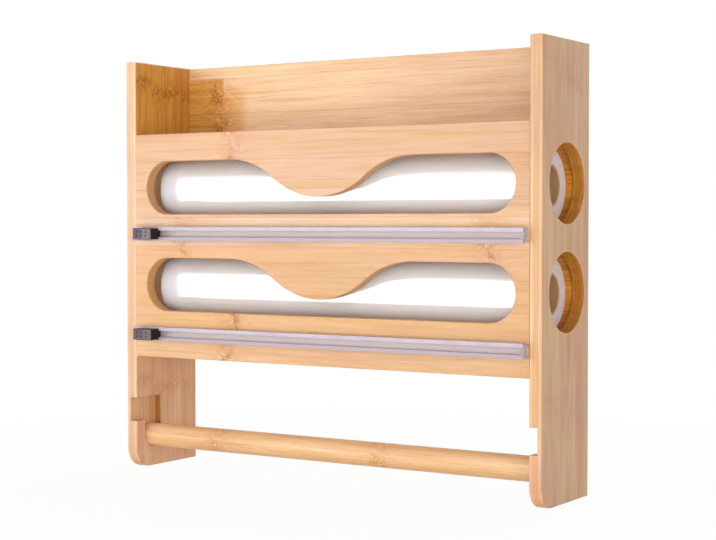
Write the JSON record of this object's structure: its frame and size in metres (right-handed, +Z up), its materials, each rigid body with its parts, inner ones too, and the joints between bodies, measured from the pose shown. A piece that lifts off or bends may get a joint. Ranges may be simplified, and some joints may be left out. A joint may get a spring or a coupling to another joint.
{
  "type": "kitchen wrap dispenser",
  "caption": "Bamboo wrap dispenser with a top tray, windowed front board over wrap rolls, sliding cutters on rails and a lift-out rod for paper towels.",
  "frame": {"origin": "bottom centre of the whole object's box, on the plane that the side panels stand on", "axes": "+X to the right seen from the front, the windows and cutters face -Y, +Z up"},
  "size_m": [0.34, 0.087, 0.3],
  "materials": {
    "bamboo_panel": "satin lacquered bamboo, upright grain",
    "bamboo_board": "satin lacquered bamboo, level grain",
    "bamboo_dowel": "raw bamboo",
    "bamboo_rod": "satin lacquered bamboo, grain along the rod",
    "rail_plastic": "milky translucent extrusion",
    "stop_plastic": "milky moulded",
    "adhesive_tape": "white foam tape",
    "cap_plastic": "black moulded",
    "foot_plastic": "black moulded",
    "blade_steel": "ground steel",
    "core_board": "wound board tube",
    "wrap_film": "clear film wound to a milky gloss"
  },
  "bodies": {
    "housing": {"left_side_panel": "bamboo_panel", "right_side_panel": "bamboo_panel", "front_board": "bamboo_board", "back_board": "bamboo_board", "tray_floor": "bamboo_board", "middle_shelf": "bamboo_board", "bottom_shelf": "bamboo_board", "tray_floor_dowels": "bamboo_dowel", "middle_shelf_dowels": "bamboo_dowel", "bottom_shelf_dowels": "bamboo_dowel", "front_board_dowels": "bamboo_dowel", "back_board_dowels": "bamboo_dowel", "upper_cutter_rail": "rail_plastic", "upper_rail_tape": "adhesive_tape", "upper_rail_stops": "stop_plastic", "lower_cutter_rail": "rail_plastic", "lower_rail_tape": "adhesive_tape", "lower_rail_stops": "stop_plastic"},
    "upper_slider": {"upper_slider_cap": "cap_plastic", "upper_slider_foot": "foot_plastic", "upper_slider_blade": "blade_steel"},
    "lower_slider": {"lower_slider_cap": "cap_plastic", "lower_slider_foot": "foot_plastic", "lower_slider_blade": "blade_steel"},
    "upper_roll": {"upper_roll_core": "core_board", "upper_film_roll": "wrap_film"},
    "lower_roll": {"lower_roll_core": "core_board", "lower_film_roll": "wrap_film"},
    "rod": {"towel_rod": "bamboo_rod"}
  },
  "joints": [
    {"name": "upper_slider_travel", "type": "slide", "parent": "housing", "child": "upper_slider", "axis": [1, 0, 0], "range_m": [-0.0065, 0.2923]},
    {"name": "lower_slider_travel", "type": "slide", "parent": "housing", "child": "lower_slider", "axis": [1, 0, 0], "range_m": [-0.0065, 0.2923]},
    {"name": "upper_roll_spin", "type": "hinge", "parent": "housing", "child": "upper_roll", "pos_m": [0, 0.00805, 0.2059], "axis": [1, 0, 0], "continuous": true},
    {"name": "lower_roll_spin", "type": "hinge", "parent": "housing", "child": "lower_roll", "pos_m": [0, 0.00805, 0.1355], "axis": [1, 0, 0], "continuous": true},
    {"name": "rod_lift", "type": "slide", "parent": "housing", "child": "rod", "axis": [0, 0, 1], "range_m": [0, 0.0203]}
  ]
}
